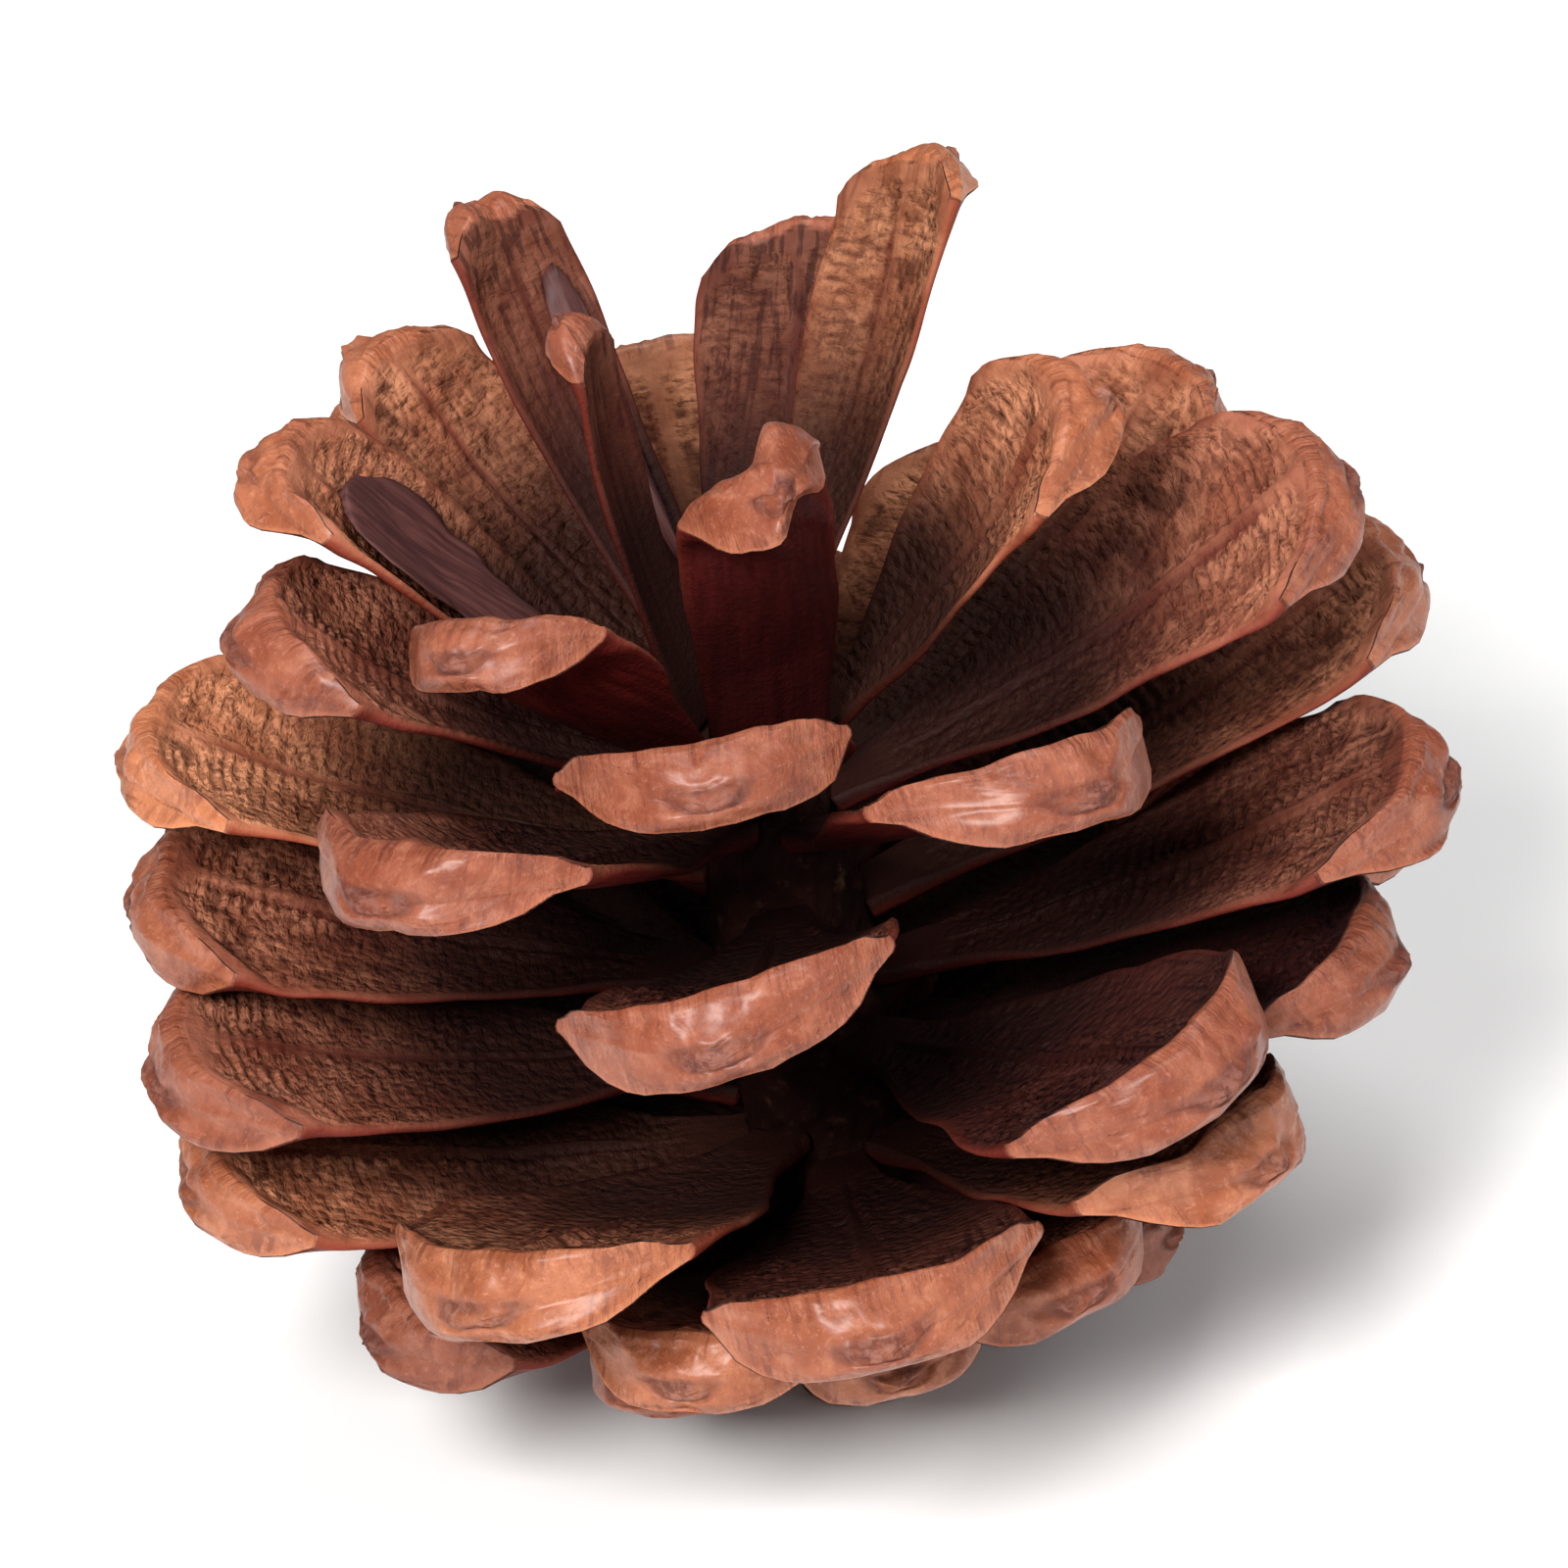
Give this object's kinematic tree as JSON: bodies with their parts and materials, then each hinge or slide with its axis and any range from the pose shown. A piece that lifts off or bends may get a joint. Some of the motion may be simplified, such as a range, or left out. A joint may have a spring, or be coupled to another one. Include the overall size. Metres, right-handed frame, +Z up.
{
  "type": "pine cone",
  "caption": "Open, dry pine cone: woody scales with thickened ends set round a short axis, standing on the broken stub of its stalk.",
  "frame": {"origin": "middle of the stalk stub's flat end, which the cone stands on", "axes": "+Z up the cone's woody axis from the stub to the apex; -Y towards the side with the widest-spread scale ends seen face on"},
  "size_m": [0.06, 0.0575, 0.0551],
  "materials": {
    "scale_wood": "dry wood, slightly glossy on the thickened scale ends",
    "axis_wood": "rough, matte, dark",
    "wing_skin": "papery, faintly glossy"
  },
  "bodies": {
    "root": {"cone_axis": "axis_wood", "scale_01": "scale_wood", "scale_02": "scale_wood", "scale_03": "scale_wood", "scale_04": "scale_wood", "scale_05": "scale_wood", "scale_06": "scale_wood", "scale_07": "scale_wood", "scale_08": "scale_wood", "scale_09": "scale_wood", "scale_10": "scale_wood", "scale_11": "scale_wood", "scale_12": "scale_wood", "scale_13": "scale_wood", "scale_14": "scale_wood", "scale_15": "scale_wood", "scale_16": "scale_wood", "scale_17": "scale_wood", "scale_18": "scale_wood", "scale_19": "scale_wood", "scale_20": "scale_wood", "scale_21": "scale_wood", "scale_22": "scale_wood", "scale_23": "scale_wood", "scale_24": "scale_wood", "scale_25": "scale_wood", "scale_26": "scale_wood", "scale_27": "scale_wood", "scale_28": "scale_wood", "scale_29": "scale_wood", "scale_30": "scale_wood", "scale_31": "scale_wood", "scale_32": "scale_wood", "scale_33": "scale_wood", "scale_34": "scale_wood", "scale_35": "scale_wood", "scale_36": "scale_wood", "scale_37": "scale_wood", "scale_38": "scale_wood", "scale_39": "scale_wood", "scale_40": "scale_wood", "scale_41": "scale_wood", "scale_42": "scale_wood", "scale_43": "scale_wood", "scale_44": "scale_wood", "scale_45": "scale_wood", "scale_46": "scale_wood", "scale_47": "scale_wood", "scale_48": "scale_wood", "scale_49": "scale_wood", "scale_50": "scale_wood", "scale_51": "scale_wood", "scale_52": "scale_wood", "scale_53": "scale_wood", "scale_54": "scale_wood", "scale_55": "scale_wood", "scale_56": "scale_wood", "scale_57": "scale_wood", "seed_wing_53": "wing_skin", "seed_wing_56": "wing_skin"}
  },
  "joints": []
}
